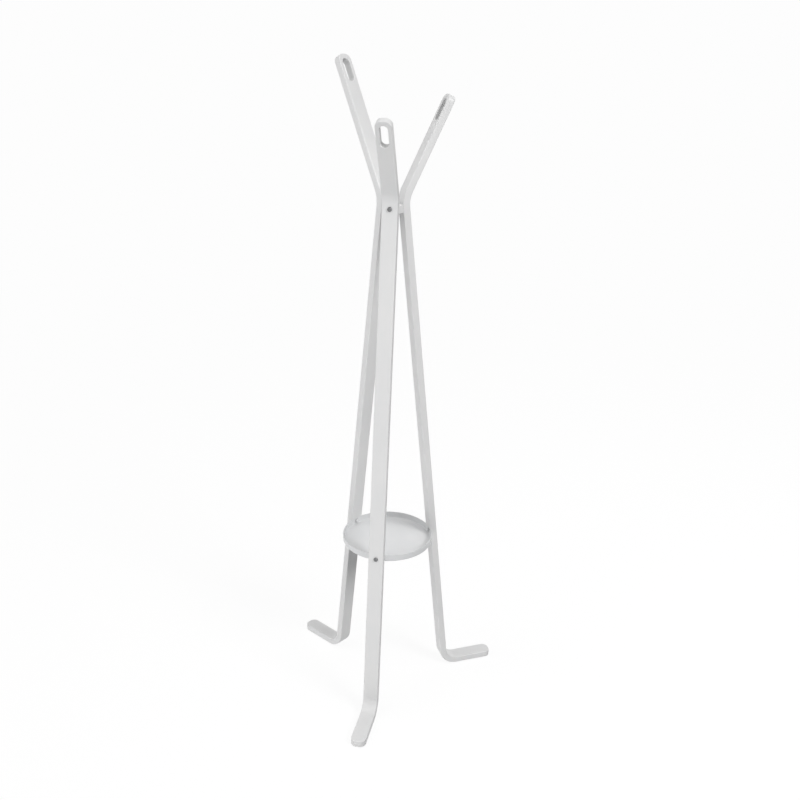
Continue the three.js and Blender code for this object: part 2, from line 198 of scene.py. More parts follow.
class Board:
    """A tree of shader nodes, and the patterns that can be laid out on it."""

    def __init__(self, tree):
        self.tree = tree

    def node(self, kind, settings=None, inputs=None, output=0):
        """Adds a node, sets what it is, fills its sockets with values or wires, and gives one output."""
        made = self.tree.nodes.new(kind)
        for setting, value in (settings or {}).items():
            setattr(made, setting, value)
        for key, value in (inputs or {}).items():
            self.feed(self.find(made.inputs, key), value)
        return Wire(self, self.find(made.outputs, output))

    @staticmethod
    def find(sockets, key):
        """A socket by its number, its identifier or its name."""
        if isinstance(key, int):
            return sockets[key]
        return next((s for s in sockets if s.identifier == key), None) or sockets[key]

    def feed(self, socket, value):
        if isinstance(value, Wire):
            self.tree.links.new(value.socket, socket)
        else:
            socket.default_value = value

    def place(self, measured="Object"):
        return self.node("ShaderNodeTexCoord", output=measured)

    def stretched(self, place, scale):
        """The place with each axis scaled by its own number."""
        scaling = {0: place, 1: scale}
        return self.node("ShaderNodeVectorMath", {"operation": "MULTIPLY"}, scaling, "Vector")

    def length(self, place):
        return self.node("ShaderNodeVectorMath", {"operation": "LENGTH"}, {0: place}, "Value")

    def part(self, place, axis):
        return self.node("ShaderNodeSeparateXYZ", inputs={"Vector": place}, output=axis)

    def noise(self, place, scale=1.0, detail=2.0, roughness=0.5):
        inputs = {"Vector": place, "Scale": scale, "Detail": detail, "Roughness": roughness}
        return self.node("ShaderNodeTexNoise", inputs=inputs, output="Fac")

    def eased(self, value, low, high):
        """0 below `low`, 1 above `high`, and smooth between them."""
        inputs = {"Value": value, "From Min": low, "From Max": high}
        return self.node("ShaderNodeMapRange", {"interpolation_type": "SMOOTHSTEP"}, inputs, "Result")

    def tint(self, factor, first, second):
        """A colour from `first` to `second`."""
        inputs = {"Factor_Float": factor, "A_Color": first, "B_Color": second}
        return self.node("ShaderNodeMix", {"data_type": "RGBA"}, inputs, "Result_Color")

    def relief(self, height, depth, under=None):
        """Bumps of the given height, 0 to 1, `depth` metres deep, laid over the bumps `under` them."""
        inputs = {"Height": height, "Distance": depth}
        if under:
            inputs["Normal"] = under
        return self.node("ShaderNodeBump", inputs=inputs, output="Normal")


class Finish(Board):
    """A material and the nodes that work out its colour, roughness and relief."""

    def __init__(self, name, **constants):
        self.material = bpy.data.materials.new(name)
        self.material.use_nodes = True
        super().__init__(self.material.node_tree)
        self.shader = self.tree.nodes["Principled BSDF"]
        for socket, value in constants.items():
            self.shader.inputs[socket.replace("_", " ")].default_value = value

    def shows(self, **values):
        """Feeds the shader's own sockets with what changes over the surface."""
        for socket, value in values.items():
            self.feed(self.shader.inputs[socket.replace("_", " ")], value)

    def strip_place(self):
        """Place on a bent strip, as if it were straight: along it, across it and through it, in metres."""
        return self.node("ShaderNodeAttribute", {"attribute_name": "strip_place"}, output="Vector")

    def worn_edge(self):
        """1 on the crest of a rounded edge, 0 on the faces."""
        return self.node("ShaderNodeAttribute", {"attribute_name": "edge"}, output="Fac")


def shade(level, warmth=0.0):
    """A near-white colour of that linear brightness; warmth above 0 is yellower, below 0 bluer."""
    return (level * (1 + warmth), level, level * (1 - warmth), 1)


# ------------------------------ finishes

LACQUER_LEVEL = 0.78                    # linear brightness of the white lacquer
PLY_FADE = (1.6 * MM, 0.6 * MM)         # below a face, where the edge's ply lines begin to fade and end
SCUFF_FADE = (80 * MM, 112 * MM)        # from the tray's middle, where its scuffs begin to fade and end
RIM_FADE = (1.1 * MM, 0.1 * MM)         # below the tray's rim, where its colour begins to thin and is thin
RING_DENSITY = 420                      # of the tray's turning rings, per metre


def white_lacquer(name, place_of, edged):
    """Satin white lacquer on beech: orange peel, open grain that shows through faintly along the strip, the
    ply lines of the bent veneers on the edges, and a little wear on the rounded edges."""
    finish = Finish(name, Specular_IOR_Level=0.42, Coat_IOR=1.48, Coat_Roughness=0.32)
    place = place_of(finish)
    grain = finish.noise(finish.stretched(place, (22, 900, 900)), detail=4, roughness=0.62)
    pores = finish.eased(grain, 0.58, 0.72)
    peel = finish.noise(place, 520, detail=1.5)
    sag = finish.noise(place, 34, detail=2)
    cloud = finish.noise(place, 7, detail=3, roughness=0.6)

    colour = finish.tint(finish.eased(cloud, 0.3, 0.7), shade(LACQUER_LEVEL * 0.982, -0.002),
                         shade(LACQUER_LEVEL * 1.012, 0.003))
    colour = finish.tint(pores * 0.10, colour, shade(LACQUER_LEVEL * 0.86, 0.02))
    rough = 0.36 + cloud * 0.10 + peel * 0.06 + pores * 0.08
    normal = finish.relief(sag, 0.10 * MM)
    normal = finish.relief(peel, 0.035 * MM, normal)
    normal = finish.relief(1 - pores, 0.03 * MM, normal)
    if edged:
        through = finish.part(place, "Z")
        wall = 1 - finish.eased(abs(through), *(STRIP_THICKNESS / 2 - below for below in PLY_FADE))
        half = VENEER_THICKNESS / 2
        layer = finish.node("ShaderNodeMath", {"operation": "PINGPONG"}, {0: through, 1: half}, "Value")
        line = finish.eased(layer / half, 0.70, 1.0) * wall
        wobble = finish.noise(finish.stretched(place, (60, 300, 300)), detail=3)
        line = line * finish.eased(wobble, 0.35, 0.6)
        normal = finish.relief(1 - line, 0.008 * MM, normal)
        chips = finish.noise(place, 210, detail=5, roughness=0.7)
        worn = finish.worn_edge() * finish.eased(chips, 0.52, 0.70)
        colour = finish.tint(line * 0.05 + worn * 0.12, colour, shade(LACQUER_LEVEL * 0.80, 0.03))
        rough = rough + worn * 0.12 - finish.worn_edge() * 0.05
    finish.shows(Base_Color=colour, Roughness=rough, Normal=normal, Coat_Weight=0.18 + cloud * 0.12)
    return finish.material


def white_enamel():
    """Cool white stoved enamel on sheet steel: fine orange peel, faint turning rings from the spinning of
    the dish, scuffs on its floor and thinner colour on the rim."""
    finish = Finish("white_enamel", Specular_IOR_Level=0.5, Coat_IOR=1.5, Coat_Roughness=0.2)
    place = finish.place()
    from_middle = {0: place, 1: (AXIS.x, AXIS.y, TRAY_MIDDLE)}
    centred = finish.node("ShaderNodeVectorMath", {"operation": "SUBTRACT"}, from_middle, "Vector")
    radius = finish.length(finish.stretched(centred, (1, 1, 0)))
    height = finish.part(centred, "Z")

    profile = {"X": radius * RING_DENSITY, "Y": height * RING_DENSITY}
    rings = finish.noise(finish.node("ShaderNodeCombineXYZ", inputs=profile), detail=3, roughness=0.6)
    peel = finish.noise(place, 640, detail=1.5)
    cloud = finish.noise(place, 16, detail=3, roughness=0.6)
    scuff = finish.noise(finish.stretched(place, (90, 700, 200)), detail=4, roughness=0.7)
    scuffed = finish.eased(scuff, 0.62, 0.74) * (1 - finish.eased(radius, *SCUFF_FADE))
    rim = finish.eased(height, *(TRAY_HALF_HEIGHT - below for below in RIM_FADE))

    colour = finish.tint(finish.eased(cloud, 0.3, 0.7), shade(0.755, -0.010), shade(0.785, -0.006))
    colour = finish.tint(scuffed * 0.10 + rim * 0.10, colour, shade(0.68, -0.004))
    normal = finish.relief(rings, 0.03 * MM)
    normal = finish.relief(peel, 0.03 * MM, normal)
    rough = 0.30 + cloud * 0.12 + scuffed * 0.16 + peel * 0.05
    finish.shows(Base_Color=colour, Roughness=rough, Normal=normal, Coat_Weight=0.25 + cloud * 0.15)
    return finish.material


def zinc_plate():
    """Dark zinc on a pressed steel screw: fine turning marks, mottled crystals and black specks."""
    finish = Finish("zinc_plate", Metallic=1.0, Specular_IOR_Level=0.5)
    place = finish.place()
    mottle = finish.noise(place, 900, detail=4, roughness=0.6)
    marks = finish.noise(finish.stretched(place, (2600, 2600, 5200)), detail=2)
    spots = finish.eased(finish.noise(place, 2300, detail=3), 0.60, 0.72)
    colour = finish.tint(mottle, shade(0.15, -0.01), shade(0.30, -0.015))
    colour = finish.tint(spots * 0.5, colour, shade(0.07, 0.02))
    rough = 0.22 + mottle * 0.16 + spots * 0.2
    normal = finish.relief(marks, 0.02 * MM)
    finish.shows(Base_Color=colour, Roughness=rough, Normal=normal)
    return finish.material


def turned_brass():
    """Dull turned brass: fine lathe lines and brown tarnish in patches."""
    finish = Finish("turned_brass", Metallic=1.0)
    place = finish.place()
    lines = finish.noise(finish.stretched(place, (800, 800, 3200)), detail=2)
    tarnish = finish.eased(finish.noise(place, 260, detail=4, roughness=0.65), 0.42, 0.68)
    colour = finish.tint(tarnish, (0.55, 0.36, 0.12, 1), (0.30, 0.19, 0.08, 1))
    normal = finish.relief(lines, 0.02 * MM)
    finish.shows(Base_Color=colour, Roughness=0.32 + tarnish * 0.25, Normal=normal)
    return finish.material


def grey_felt():
    """Pressed grey felt: matted fibres at two scales, with dirt picked up from the floor."""
    finish = Finish("grey_felt", Specular_IOR_Level=0.15, Sheen_Weight=0.35, Sheen_Roughness=0.6)
    place = finish.place()
    fibre = finish.noise(finish.stretched(place, (3000, 1500, 3000)), detail=5, roughness=0.7)
    tuft = finish.noise(place, 700, detail=4, roughness=0.65)
    dirt = finish.eased(finish.noise(place, 150, detail=3), 0.45, 0.7)
    colour = finish.tint(fibre * 0.6 + tuft * 0.4, shade(0.20, 0.01), shade(0.38, 0.015))
    colour = finish.tint(dirt * 0.35, colour, shade(0.16, 0.08))
    normal = finish.relief(tuft, 0.25 * MM)
    normal = finish.relief(fibre, 0.12 * MM, normal)
    finish.shows(Base_Color=colour, Roughness=0.86 + fibre * 0.12, Normal=normal)
    return finish.material


# ------------------------------ meshes from grids of points

MERGE_DISTANCE = 2e-6                   # between points of grids that are the same point
MERGE_DISTANCE_OF_CUT = 4e-6            # between points that a cut leaves close together
SHORTEST_EDGE = 1e-7
SHORTEST_EDGE_OF_CUT = 1e-6
SHARP_ANGLE = math.radians(35)          # between faces, from which an edge is shaded as a sharp one


def grid_faces(rows, columns, first=0):
    """Corner numbers of the four-sided faces between neighbouring rows and columns of a grid."""
    corner = first + np.arange(rows * columns).reshape(rows, columns)
    low, high = corner[:-1], corner[1:]
    return np.stack([low[:, :-1], low[:, 1:], high[:, 1:], high[:, :-1]], -1).reshape(-1, 4)


def merge(mesh, distance, shortest, turn_outwards):
    """Merges points that lie within a distance of each other, removes edges below the shortest and, if
    wanted, turns all faces outwards."""
    skin = bmesh.new()
    skin.from_mesh(mesh)
    bmesh.ops.remove_doubles(skin, verts=skin.verts, dist=distance)
    bmesh.ops.dissolve_degenerate(skin, edges=skin.edges, dist=shortest)
    if turn_outwards:
        bmesh.ops.recalc_face_normals(skin, faces=skin.faces)
    skin.to_mesh(mesh)
    skin.free()


def mesh_of(name, grids, values=None):
    """One closed mesh from several grids of points. Points that coincide are merged, which closes seams and
    poles, and the faces are then turned outwards. `values` gives each grid's numbers to keep, by name."""
    points = np.concatenate([grid.reshape(-1, 3) for grid in grids])
    firsts = np.cumsum([0] + [grid.shape[0] * grid.shape[1] for grid in grids])
    faces = np.concatenate([grid_faces(*grid.shape[:2], first) for grid, first in zip(grids, firsts)])
    mesh = bpy.data.meshes.new(name)
    mesh.from_pydata(points, [], faces)
    for key, kept in (values or {}).items():
        width = kept[0].shape[-1] if kept[0].ndim == 3 else 1
        kind, field = ("FLOAT_VECTOR", "vector") if width == 3 else ("FLOAT", "value")
        attribute = mesh.attributes.new(key, kind, "POINT")
        attribute.data.foreach_set(field, np.concatenate([k.reshape(-1) for k in kept]).astype(np.float32))
    merge(mesh, MERGE_DISTANCE, SHORTEST_EDGE, True)
    return mesh


def to_corners(mesh, *keys):
    """Moves point values to the faces' corners, where cutting the mesh carries them over."""
    corners = np.empty(len(mesh.loops), np.int32)
    mesh.loops.foreach_get("vertex_index", corners)
    for key in keys:
        attribute = mesh.attributes[key]
        kind = attribute.data_type
        width, field = (3, "vector") if kind == "FLOAT_VECTOR" else (1, "value")
        held = np.empty(len(mesh.vertices) * width, np.float32)
        attribute.data.foreach_get(field, held)
        mesh.attributes.remove(attribute)
        spread = held.reshape(-1, width)[corners]
        mesh.attributes.new(key, kind, "CORNER").data.foreach_set(field, spread.ravel())


def piece(name, mesh, node, material, cutters=()):
    """A finished piece in place of a CAD node, with the cutters' shapes taken out of it."""
    made = bpy.data.objects.new(name, mesh)
    bpy.context.scene.collection.objects.link(made)
    tools = []
    for number, cutter in enumerate(cutters):
        tool = bpy.data.objects.new(f"{name}_cutter_{number}", cutter)
        bpy.context.scene.collection.objects.link(tool)
        taken = made.modifiers.new(tool.name, "BOOLEAN")
        taken.operation = "DIFFERENCE"
        taken.solver = "EXACT"
        taken.object = tool
        tools.append(tool)
    if tools:
        bpy.context.view_layer.update()
        depsgraph = bpy.context.evaluated_depsgraph_get()
        cut = bpy.data.meshes.new_from_object(made.evaluated_get(depsgraph))
        made.modifiers.clear()
        made.data = cut
        merge(cut, MERGE_DISTANCE_OF_CUT, SHORTEST_EDGE_OF_CUT, False)
        for tool in tools:
            bpy.data.objects.remove(tool)
    made.data.name = name
    made.data.materials.clear()
    made.data.materials.append(material)
    made.data.shade_smooth()
    made.data.set_sharp_from_angle(angle=SHARP_ANGLE)
    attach(made, "root")
    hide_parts(node)


# ------------------------------ places on a leg


class Stand:
    """An upright plane through the stand's axis, turned to one strip's direction."""

    def __init__(self, direction):
        self.outwards = np.array([math.cos(direction), math.sin(direction), 0])
        self.sideways = np.array([-math.sin(direction), math.cos(direction), 0])
        self.axis = np.array([AXIS.x, AXIS.y, 0])
        self.up = np.array([0, 0, 1])

    def at(self, radius, aside, height):
        """Points at a distance from the axis, a distance to the side of the plane and a height."""
        parts = [(radius, self.outwards), (aside, self.sideways), (height, self.up)]
        return self.axis + sum(np.asarray(size)[..., None] * way for size, way in parts)

    def square_to_leg(self, height, depth, aside, along, outward):
        """Points by a screw's measures: aside, along the leg and outward from `depth` below its face."""
        lean, reach = math.sin(LEG_LEAN), math.cos(LEG_LEAN)
        out = outward - depth
        radius = leg_radius(height) + LEG_HALF_FACE + out * reach - along * lean
        return self.at(radius, aside, height + out * lean + along * reach)


ROUND_STEPS = 6                         # flat pieces that an arc is drawn with, unless more are wanted
BORE_SIDES = 64


def rounded(corners, steps=ROUND_STEPS):
    """An outline through the corners (x, y, radius), with each corner drawn as an arc of its radius.

    The arc starts and ends radius / tan(half the corner's angle) from the corner, and its centre lies on
    the line that halves that angle."""
    points = []
    for number, (x, y, radius) in enumerate(corners):
        corner = np.array([x, y], float)
        if radius == 0:
            points.append(corner[None])
            continue
        before = np.array(corners[number - 1][:2], float) - corner
        after = np.array(corners[(number + 1) % len(corners)][:2], float) - corner
        before /= np.linalg.norm(before)
        after /= np.linalg.norm(after)
        half = math.acos(np.clip(before @ after, -1, 1)) / 2
        middle = (before + after) / np.linalg.norm(before + after)
        centre = corner + middle * radius / math.sin(half)
        start = corner + before * radius / math.tan(half) - centre
        sweep = math.pi - 2 * half
        side = np.sign(before[0] * after[1] - before[1] * after[0]) or 1
        turn = -side * np.linspace(0, sweep, steps + 1)
        arc_x = start[0] * np.cos(turn) - start[1] * np.sin(turn)
        arc_y = start[0] * np.sin(turn) + start[1] * np.cos(turn)
        points.append(centre + np.stack([arc_x, arc_y], -1))
    return np.concatenate(points)


def turned(outline, sides):
    """Radius, turn and height of a profile (radius, height) carried round its axis."""
    turn = np.linspace(0, 2 * math.pi, sides + 1)
    turn[-1] = 0
    radius, turn = np.broadcast_arrays(outline[:, :1], turn)
    height = np.broadcast_to(outline[:, 1:], radius.shape)
    return radius, turn, height


def turned_in_leg(stand, outline, height, depth, sides=BORE_SIDES, spread=1.0):
    """A profile turned about a line square to the leg's face."""
    radius, turn, outward = turned(outline, sides)
    radius = radius * spread
    aside, along = radius * np.cos(turn), radius * np.sin(turn)
    return stand.square_to_leg(height, depth, aside, along, outward)


def turned_upright(name, outline, sides):
    """A profile turned about the stand's own axis."""
    radius, turn, height = turned(outline, sides)
    points = np.dstack([AXIS.x + radius * np.cos(turn), AXIS.y + radius * np.sin(turn), height])
    return mesh_of(name, [points])


def blind_hole(name, stand, radius, height, top, bottom):
    """A cylinder square to the leg's face, from `top` to `bottom` below that face, to be cut out."""
    outline = rounded([(0, -bottom, 0), (radius, -bottom, 0), (radius, -top, 0), (0, -top, 0)])
    return mesh_of(name, [turned_in_leg(stand, outline, height, 0)])


# ------------------------------ bent strips

STRAIGHT_STEP = 60 * MM                 # between rows of points on a straight stretch
BEND_STEP = math.radians(2)             # between rows of points on a bend
TOE_ROWS = 21                           # of points round half of a toe
SLOT_ROWS = (15, 4, 25)                 # round the slot's near end, along its side and round its far end
FACE_COLUMNS = 7                        # columns of points across half of a face
FACE_SUPPORT = 0.7 * MM                 # a row this far from a face's edges keeps the face flat
HOUSING_SIDES = 512


class SideLine:
    """A strip's middle line in side view: foot, heel bend, leg, elbow bend and arm.

    Every stretch has one length and one curvature k. A point d beyond a stretch's start, where the line
    heads at angle a, lies d sin(kd/2) / (kd/2) away from it at angle a + kd/2."""

    def __init__(self, arm_length):
        headings = np.array([math.pi, math.pi / 2 + LEG_LEAN, math.pi / 2 - ARM_ANGLE])
        heel_turn, elbow_turn = headings[:2] - headings[1:]
        heel_reach = HEEL_BEND * math.tan(heel_turn / 2)
        elbow_reach = ELBOW_BEND * math.tan(elbow_turn / 2)
        leg = math.hypot(HEEL_RADIUS - ELBOW_RADIUS, ELBOW_HEIGHT - FOOT_HEIGHT)
        self.lengths = np.array([
            TOE_RADIUS - HEEL_RADIUS - heel_reach,
            HEEL_BEND * heel_turn,
            leg - heel_reach - elbow_reach,
            ELBOW_BEND * elbow_turn,
            arm_length - elbow_reach,
        ])
        self.curvature = np.array([0, -1 / HEEL_BEND, 0, -1 / ELBOW_BEND, 0])
        self.starts = np.concatenate([[0], np.cumsum(self.lengths)])
        self.length = self.starts[-1]
        self.headings = math.pi + np.concatenate([[0], np.cumsum(self.lengths * self.curvature)[:-1]])
        steps = self.step(self.lengths, self.curvature, self.headings)
        self.corners = np.array([TOE_RADIUS, FOOT_HEIGHT]) + np.vstack([[0, 0], np.cumsum(steps, 0)[:-1]])

    @staticmethod
    def step(distance, curvature, heading):
        """The way from a stretch's start to a point that far beyond it."""
        half_turn = curvature * distance / 2
        chord = distance * np.sinc(half_turn / math.pi)
        return np.stack([chord * np.cos(heading + half_turn), chord * np.sin(heading + half_turn)], -1)

    def at(self, distance):
        """Radius, height and heading of the line at a distance along it."""
        stretch = np.clip(np.searchsorted(self.starts, distance, "right") - 1, 0, len(self.lengths) - 1)
        past = distance - self.starts[stretch]
        place = self.corners[stretch] + self.step(past, self.curvature[stretch], self.headings[stretch])
        return place[..., 0], place[..., 1], self.headings[stretch] + self.curvature[stretch] * past

    def stations(self, first, last):
        """Distances to draw rows at, close together on a bend and far apart on a straight stretch."""
        bend = np.abs(self.curvature)
        spacing = np.where(bend == 0, STRAIGHT_STEP, BEND_STEP / np.where(bend == 0, 1, bend))
        ends = np.clip(self.starts, first, last)
        runs = [np.linspace(a, b, max(2, round((b - a) / gap) + 1), endpoint=False)
                for a, b, gap in zip(ends[:-1], ends[1:], spacing) if b > a]
        return np.concatenate(runs + [[last]])


def end_outline(run):
    """Half of a rounded end, by the distance `run` along its edge from its middle: a short flat, a quarter
    circle and the straight side. Gives the distance back from the end, the distance aside and the turn."""
    turn = np.clip((run - END_FLAT) / STRIP_END_CORNER, 0, math.pi / 2)
    straight = np.maximum(run - END_FLAT - STRIP_END_CORNER * math.pi / 2, 0)
    back = STRIP_END_CORNER * (1 - np.cos(turn)) + straight
    aside = np.minimum(run, END_FLAT) + STRIP_END_CORNER * np.sin(turn)
    return back, aside, turn


def plan_rows(line):
    """Rows across half of the flattened strip, in two runs: from the toe to the slot, and past the slot.
    Each row is its inner point, the way from there into the wood, its outer point and the way from there
    into the wood, all as (along, aside)."""
    half_width, half_slot = STRIP_WIDTH / 2, SLOT_WIDTH / 2
    quarter = STRIP_END_CORNER * math.pi / 2
    slot_low = line.length - SLOT_END_MARGIN - SLOT_LENGTH + half_slot
    slot_high = line.length - SLOT_END_MARGIN - half_slot
    before_slot = slot_low - half_slot - SLOT_EDGE_ROUND

    def pair(along, aside):
        return np.stack(np.broadcast_arrays(along, aside), -1)

    back, aside, turn = end_outline(np.linspace(0, END_FLAT + quarter, TOE_ROWS))
    stations = line.stations(STRIP_END_CORNER, before_slot)[1:]
    plain = (
        np.concatenate([pair(STRIP_END_CORNER, 0 * back), pair(stations, 0)]),
        np.concatenate([pair(0 * back, 0), pair(0 * stations, 0)]),
        np.concatenate([pair(back, aside), pair(stations, half_width)]),
        np.concatenate([pair(np.cos(turn), -np.sin(turn)), pair(0 * stations, -1)]),
    )

    low_rows, side_rows, high_rows = SLOT_ROWS
    low = np.linspace(0, math.pi / 2, low_rows)
    side = np.linspace(slot_low, slot_high, side_rows)[1:]
    high = np.linspace(math.pi / 2, 0, high_rows)[1:]
    edge_run = END_FLAT + quarter + (line.length - slot_high - STRIP_END_CORNER)
    back, aside, turn = end_outline(edge_run * high / (math.pi / 2))
    into_low = pair(-np.cos(low), np.sin(low))
    into_high = pair(np.cos(high), np.sin(high))
    slotted = (
        np.concatenate([pair(slot_low, 0) + half_slot * into_low, pair(side, half_slot),
                        pair(slot_high, 0) + half_slot * into_high]),
        np.concatenate([into_low, pair(0 * side, 1), into_high]),
        np.concatenate([pair(slot_low - (half_slot + SLOT_EDGE_ROUND) * np.cos(low), half_width),
                        pair(side, half_width), pair(line.length - back, aside)]),
        np.concatenate([pair(0 * low, -1), pair(0 * side, -1), pair(-np.cos(turn), -np.sin(turn))]),
    )
    return plain, slotted


def strip_skin(inner, into_inner, outer, into_outer, slotted):
    """Half of a strip's skin over rows of the plan: the outer face, its rounded edge, the side, the other
    rounded edge and the inner face, and past the slot's start the slot's wall too. Gives (along, aside,
    through) and how far each point is round a rounded edge."""
    quarter = np.linspace(0, math.pi / 2, ROUND_STEPS + 1)
    half = STRIP_THICKNESS / 2
    round_inner = SLOT_EDGE_ROUND if slotted else 0
    first = inner + into_inner * round_inner
    last = outer + into_outer * STRIP_EDGE_ROUND
    width = np.linalg.norm(last - first, axis=-1)[:, None]
    spread = np.linspace(0, 1, FACE_COLUMNS)[None]
    shares = FACE_SUPPORT / width + (1 - 2 * FACE_SUPPORT / width) * spread
    shares = np.concatenate([0 * width, shares, 0 * width + 1], 1)[..., None]
    face = first[:, None] + (last - first)[:, None] * shares

    def rounding(edge, into, radius):
        """A quarter circle from the face down to the wall: in plan it ends on the edge."""
        plan = edge[:, None] + into[:, None] * (radius * (1 - np.sin(quarter)))[None, :, None]
        depth = half - radius * (1 - np.cos(quarter))
        wear = np.sin(2 * quarter)
        return plan, np.broadcast_to(depth, plan.shape[:2]), np.broadcast_to(wear, plan.shape[:2])

    def level(plan, through):
        """A flat stretch at one depth, with no wear."""
        flat = np.zeros(plan.shape[:2])
        return plan, flat + through, flat

    plan, depth, worn = rounding(outer, into_outer, STRIP_EDGE_ROUND)
    columns = [level(face, half), (plan[:, 1:], depth[:, 1:], worn[:, 1:])]
    columns += [(plan[:, ::-1], -depth[:, ::-1], worn[:, ::-1]), level(face[:, -2::-1], -half)]
    if slotted:
        plan, depth, worn = rounding(inner, into_inner, SLOT_EDGE_ROUND)
        columns.append((plan[:, 1:], -depth[:, 1:], worn[:, 1:]))
        columns.append((plan[:, ::-1], depth[:, ::-1], worn[:, ::-1]))
    plans, throughs, worns = (np.concatenate(part, 1) for part in zip(*columns))
    return np.dstack([plans, throughs]), worns


def strip_grids(line, stand):
    """The strip's skin as grids of points, bent along its middle line, with both halves of its width.

    A point a distance s along, t aside and n through lies n out from the line's point at s, square to the
    line there, and t to the side."""
    grids, places, edges = [], [], []
    for rows, slotted in zip(plan_rows(line), (False, True)):
        skin, worn = strip_skin(*rows, slotted)
        for side in (1, -1):
            along, aside, through = skin[..., 0], side * skin[..., 1], skin[..., 2]
            radius, height, heading = line.at(along)
            points = stand.at(radius + through * np.sin(heading), aside, height - through * np.cos(heading))
            place = np.dstack([along, aside, through])
            grids.append(points[:, ::side])
            places.append(place[:, ::side])
            edges.append(worn[:, ::side])
    return grids, {"strip_place": places, "edge": edges}


def screw_hole(stand, height, seat):
    """What a screw needs cut out of the wood: its hole, and a flat seat round its head if wanted."""
    hole = SCREW_DIAMETER / 2 + SCREW_CLEARANCE
    rim = SCREW_HEAD_DIAMETER / 2 + SEAT_CLEARANCE if seat else hole
    reach = SCREW_HEAD_HEIGHT if seat else CUT_MARGIN
    bottom = -STRIP_THICKNESS - CUT_MARGIN
    outline = rounded([
        (0, bottom, 0), (hole, bottom, 0), (hole, -SEAT_DEPTH, 0),
        (rim, -SEAT_DEPTH, 0), (rim, reach, 0), (0, reach, 0),
    ])
    return mesh_of("screw_hole", [turned_in_leg(stand, outline, height, 0)])


def tray_housing():
    """What the round tray's wall needs cut out of a leg."""
    radius = TRAY_RADIUS + GAP
    low, high = tray_low.z - GAP, tray_high.z + GAP
    outline = rounded([(0, low, 0), (radius, low, 0), (radius, high, 0), (0, high, 0)])
    return turned_upright("tray_housing", outline, HOUSING_SIDES)


def make_strip(side, lacquer):
    """A strip as long as its node is high, with its screw holes and the tray's housing cut out."""
    node = f"{side}_strip"
    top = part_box(node)[1].z - STRIP_THICKNESS / 2 * math.sin(ARM_ANGLE)
    arm_length = (top - ELBOW_HEIGHT) / math.cos(ARM_ANGLE)
    stand = Stand(DIRECTIONS[side])
    grids, values = strip_grids(SideLine(arm_length), stand)
    mesh = mesh_of(f"{side}_bent_strip", grids, values)
    to_corners(mesh, "strip_place", "edge")
    cutters = [
        screw_hole(stand, HUB_SCREW_HEIGHT, True),
        screw_hole(stand, TRAY_SCREW_HEIGHT, False),
        tray_housing(),
    ]
    piece(f"{side}_bent_strip", mesh, node, lacquer, cutters)


# ------------------------------ hub, tray, fasteners and glides

HUB_CAP_INSET = 4 * MM                  # rows of points on the hub's ends, inside its sides
HUB_EDGE_SUPPORT = 0.4 * MM
TRAY_FLAT_MARGIN = 1 * MM               # from the tray's floor, where it is still flat, to its curve
TRAY_SIDES = 288
TRAY_ROUND_STEPS = 8
SCREW_MOUTH_SHAPE = 0.55                # how far the outer rim of a screw's socket is drawn to its hexagon
SCREW_SIDES = 72
GLIDE_SIDES = 72
GLIDE_RIPPLE = 0.006                    # of a felt glide's radius


def hub_outline(height, inset):
    """The hub's six corners at each height, `inset` in from its faces, as arrays over the heights.

    Wide faces lie against the legs, short ones level with the legs' edges. Neighbouring faces meet 60
    degrees apart, where x = near and y = (far - near cos 60) / sin 60 from the near face's middle."""
    near = leg_radius(height) - LEG_HALF_FACE - GAP / math.cos(LEG_LEAN) - inset
    turn = math.radians(60)
    middle_face = leg_radius(HUB_MIDDLE) - LEG_HALF_FACE
    far = middle_face * math.cos(turn) + STRIP_WIDTH / 2 * math.sin(turn) - inset
    return near, (far - near * math.cos(turn)) / math.sin(turn)


def make_hub(lacquer):
    """The block's skin: rows climb from the middle of the underside, round the edge, up the sides and over
    to the middle of the top, and columns go round the six corners, each an arc between its two faces."""
    quarter = np.linspace(0, math.pi / 2, ROUND_STEPS)
    edge_inset = HUB_EDGE_ROUND * (1 - np.sin(quarter))
    edge_level = HUB_EDGE_ROUND * (1 - np.cos(quarter)) - HUB_HALF_HEIGHT
    inset = np.concatenate([[HUB_CAP_INSET, HUB_EDGE_ROUND + HUB_EDGE_SUPPORT], edge_inset])
    level = np.concatenate([[-HUB_HALF_HEIGHT, -HUB_HALF_HEIGHT], edge_level])
    inset = np.concatenate([inset, inset[::-1]])[:, None]
    level = np.concatenate([level, -level[::-1]])[:, None]
    height = HUB_MIDDLE + level
    near, along = hub_outline(height, inset + HUB_CORNER_ROUND)

    arc = np.radians(np.linspace(0, 60, ROUND_STEPS + 1))[None]
    columns = []
    for direction in sorted(DIRECTIONS.values()):
        for side in (-1, 1):
            first = direction - math.radians(60) if side < 0 else direction
            corner = near[..., None] * [math.cos(direction), math.sin(direction)]
            corner = corner + (side * along)[..., None] * [-math.sin(direction), math.cos(direction)]
            swing = first + arc
            columns.append(corner + HUB_CORNER_ROUND * np.dstack([np.cos(swing), np.sin(swing)]))
    ring = np.concatenate(columns + [columns[0][:, :1]], 1)
    heights = np.broadcast_to(height, ring.shape[:2])
    skin = np.dstack([ring[..., 0] + AXIS.x, ring[..., 1] + AXIS.y, heights])
    caps = [np.repeat(skin[row].mean(0)[None, None], skin.shape[1], 1) for row in (0, -1)]
    mesh = mesh_of("hub_hexagon", [np.concatenate([caps[0], skin, caps[1]])])
    hole = INSERT_DIAMETER / 2 + GAP
    bottom = INSERT_START + INSERT_LENGTH + GAP
    cutters = [
        blind_hole("insert_hole", Stand(direction), hole, HUB_SCREW_HEIGHT, INSERT_HOLE_START, bottom)
        for direction in DIRECTIONS.values()
    ]
    piece("hub_hexagon", mesh, "hub_block", lacquer, cutters)


